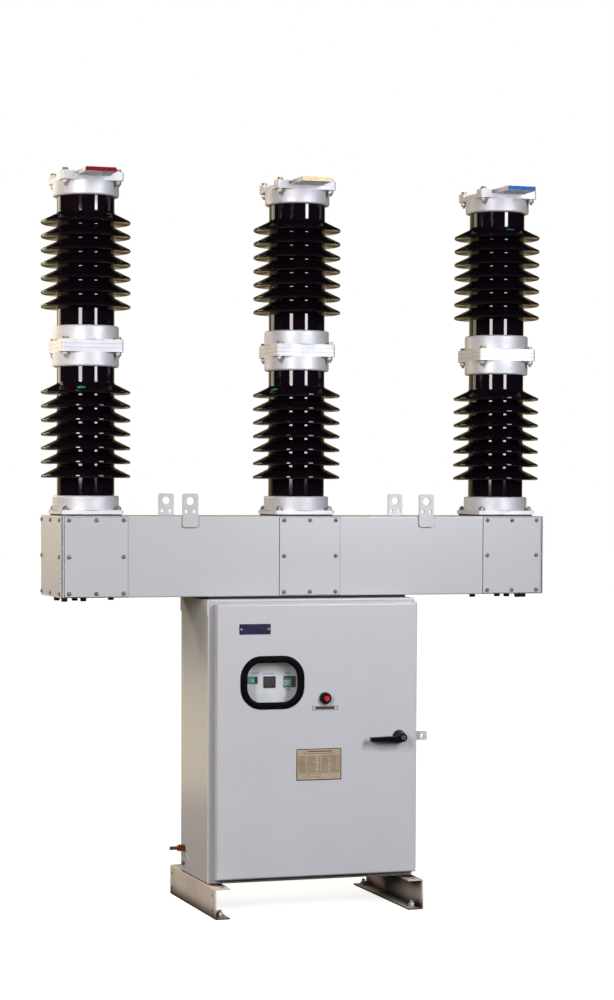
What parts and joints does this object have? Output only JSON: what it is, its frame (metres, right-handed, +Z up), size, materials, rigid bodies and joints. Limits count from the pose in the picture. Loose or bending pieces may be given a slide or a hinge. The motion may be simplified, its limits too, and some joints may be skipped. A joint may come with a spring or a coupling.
{
  "type": "outdoor vacuum circuit breaker",
  "caption": "Outdoor porcelain-clad vacuum circuit breaker: three poles in a row on a beam, mechanism cabinet with a windowed door below, on two base channels.",
  "frame": {"origin": "on the floor, at the centre of the four anchor holes in the base channels, below the axis of the middle pole", "axes": "+X along the row of poles to the right as seen from the door side, +Y to the back, away from the door, +Z up"},
  "size_m": [1.6828, 0.53, 2.335],
  "materials": {
    "channel_paint": "semi-gloss",
    "cabinet_paint": "semi-gloss",
    "zinc_sheet": "satin",
    "dark_joint": "matte",
    "mechanism_paint": "semi-gloss",
    "black_plastic": "matte",
    "earth_copper": "satin",
    "beam_paint": "semi-gloss",
    "silver_casting": "satin",
    "brown_porcelain": "gloss",
    "black_rubber": "matte",
    "clear_glass": "clear",
    "blue_plate": "satin",
    "plain_plate": "satin",
    "red_plastic": "gloss",
    "lock_metal": "satin"
  },
  "bodies": {
    "breaker": {"left_base_channel": "channel_paint", "right_base_channel": "channel_paint", "cabinet_floor": "zinc_sheet", "gland_plate": "zinc_sheet", "cabinet_left_side": "cabinet_paint", "cabinet_right_side": "cabinet_paint", "cabinet_back": "cabinet_paint", "door_frame_top": "cabinet_paint", "door_frame_bottom": "cabinet_paint", "cabinet_roof": "cabinet_paint", "roof_spacer": "dark_joint", "mechanism_housing": "mechanism_paint", "mechanism_plate": "mechanism_paint", "indicators": "black_plastic", "hinge_body_leaves": "zinc_sheet", "cabinet_hasp": "cabinet_paint", "earth_stud": "earth_copper", "beam": "beam_paint", "beam_front_covers": "beam_paint", "beam_end_covers": "beam_paint", "beam_end_gaskets": "dark_joint", "lifting_lugs": "beam_paint", "pole_gaskets": "dark_joint", "base_fittings": "silver_casting", "lower_insulators": "brown_porcelain", "middle_lower_fittings": "silver_casting", "middle_terminals": "silver_casting", "middle_upper_fittings": "silver_casting", "upper_insulators": "brown_porcelain", "top_fittings": "silver_casting", "top_terminals": "silver_casting"},
    "cabinet_door": {"door": "cabinet_paint", "hinge_door_leaves": "zinc_sheet", "window_gasket": "black_rubber", "window_pane": "clear_glass", "nameplate": "blue_plate", "rating_plate": "plain_plate", "button_label": "plain_plate", "button_bezel": "black_plastic", "door_hasp": "cabinet_paint", "handle_base": "black_plastic"},
    "push_button": {"trip_button": "red_plastic"},
    "swing_handle": {"handle_lever": "black_plastic", "handle_lock": "lock_metal"}
  },
  "joints": [
    {"name": "door_hinge", "type": "hinge", "parent": "breaker", "child": "cabinet_door", "pos_m": [-0.318, -0.189, 0.5505], "axis": [0, 0, -1], "range_deg": [0, 110]},
    {"name": "handle_turn", "type": "hinge", "parent": "cabinet_door", "child": "swing_handle", "pos_m": [0.284, -0.208, 0.5545], "axis": [0, -1, 0], "range_deg": [0, 90]},
    {"name": "trip_button_press", "type": "slide", "parent": "cabinet_door", "child": "push_button", "axis": [0, 1, 0], "range_m": [0, 0.005], "stiffness_N_per_m": 600}
  ]
}
